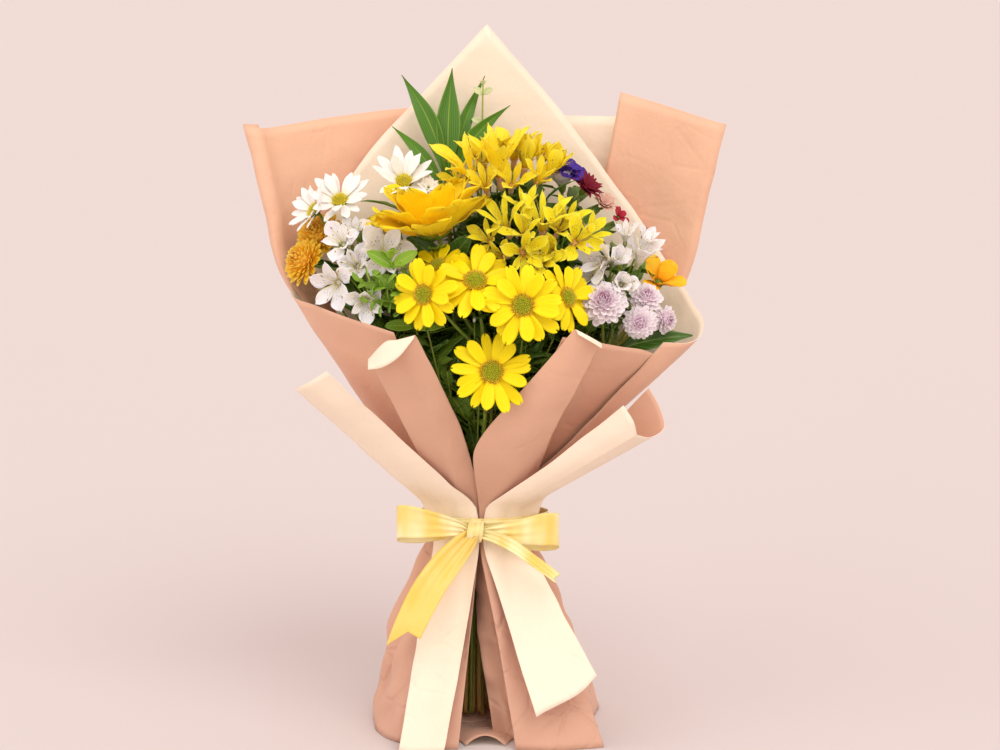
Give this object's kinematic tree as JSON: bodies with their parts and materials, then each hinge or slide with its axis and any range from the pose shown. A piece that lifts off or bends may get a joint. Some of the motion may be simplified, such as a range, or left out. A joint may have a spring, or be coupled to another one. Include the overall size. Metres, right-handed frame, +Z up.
{
  "type": "mixed flower bouquet",
  "caption": "Mixed bouquet of daisies, pompon blooms, alstroemeria and foliage in a two-tone paper wrapper tied with a satin ribbon bow.",
  "frame": {"origin": "on the surface that the bouquet stands on, in the middle of the flat foot of the wrapper under the cut stems", "axes": "+Z up along the stems, front with the bow towards -Y, +X to the right seen from the front"},
  "size_m": [0.3758, 0.1828, 0.548],
  "materials": {
    "pink_paper": "matte dusty pink wrapping paper",
    "cream_paper": "matte cream wrapping paper",
    "satin": "pale gold satin",
    "lemon_petal": "soft lemon yellow petal",
    "daisy_disc": "greenish yellow florets",
    "golden_petal": "golden yellow petal",
    "white_petal": "white petal",
    "white_daisy_disc": "yellow florets",
    "orange_petal": "golden orange petal",
    "lilac_petal": "pale lilac petal",
    "yellow_petal": "deep yellow petal",
    "lime_petal": "greenish yellow petal",
    "purple_petal": "violet petal",
    "pale_purple_petal": "off-white petal with a violet tint",
    "burgundy_petal": "dark red petal",
    "blush_petal": "pale pink petal",
    "red_petal": "red petal",
    "leaf": "green leaves on green stems",
    "fresh_leaf": "light green leaf",
    "pale_leaf": "pale green leaf"
  },
  "bodies": {
    "root": {"foot_sheet": "pink_paper", "front_right_sheet": "pink_paper", "peak_sheet": "cream_paper", "back_left_sheet": "pink_paper", "back_right_sheet": "pink_paper", "front_left_outer_sheet": "pink_paper", "front_left_inner_sheet": "pink_paper", "front_right_band": "pink_paper", "cream_left_strip": "cream_paper", "cream_right_strip": "cream_paper", "satin_ribbon": "satin", "yellow_daisy_1_petals": "lemon_petal", "yellow_daisy_1_disc": "daisy_disc", "yellow_daisy_2_petals": "lemon_petal", "yellow_daisy_2_disc": "daisy_disc", "yellow_daisy_3_petals": "lemon_petal", "yellow_daisy_3_disc": "daisy_disc", "yellow_daisy_4_petals": "lemon_petal", "yellow_daisy_4_disc": "daisy_disc", "yellow_daisy_5_petals": "lemon_petal", "yellow_daisy_5_disc": "daisy_disc", "yellow_daisy_6_petals": "lemon_petal", "yellow_daisy_6_disc": "daisy_disc", "white_daisy_1_petals": "white_petal", "white_daisy_1_disc": "white_daisy_disc", "white_daisy_2_petals": "white_petal", "white_daisy_2_disc": "white_daisy_disc", "white_daisy_3_petals": "white_petal", "white_daisy_3_disc": "white_daisy_disc", "orange_pompon_1": "orange_petal", "orange_pompon_2": "orange_petal", "lilac_pompon_1": "lilac_petal", "lilac_pompon_2": "lilac_petal", "lilac_pompon_3": "lilac_petal", "lilac_pompon_4": "lilac_petal", "golden_bloom": "golden_petal", "yellow_alstroemeria_top": "yellow_petal", "yellow_alstroemeria_middle": "lime_petal", "white_alstroemeria_left": "white_petal", "white_alstroemeria_right": "white_petal", "lisianthus_base": "pale_purple_petal", "lisianthus_petals": "purple_petal", "burgundy_bloom": "burgundy_petal", "blush_bloom": "blush_petal", "red_bloom": "red_petal", "orange_freesia": "golden_petal", "white_bud_head": "white_petal", "lime_sprig": "fresh_leaf", "pale_sprig": "pale_leaf", "yellow_daisy_stems": "leaf", "golden_bloom_stem": "leaf", "left_stems": "leaf", "tall_leaf_stem": "leaf", "top_spray_stem": "leaf", "middle_spray_stem": "leaf", "back_right_stems": "leaf", "right_stems": "leaf"}
  },
  "joints": []
}
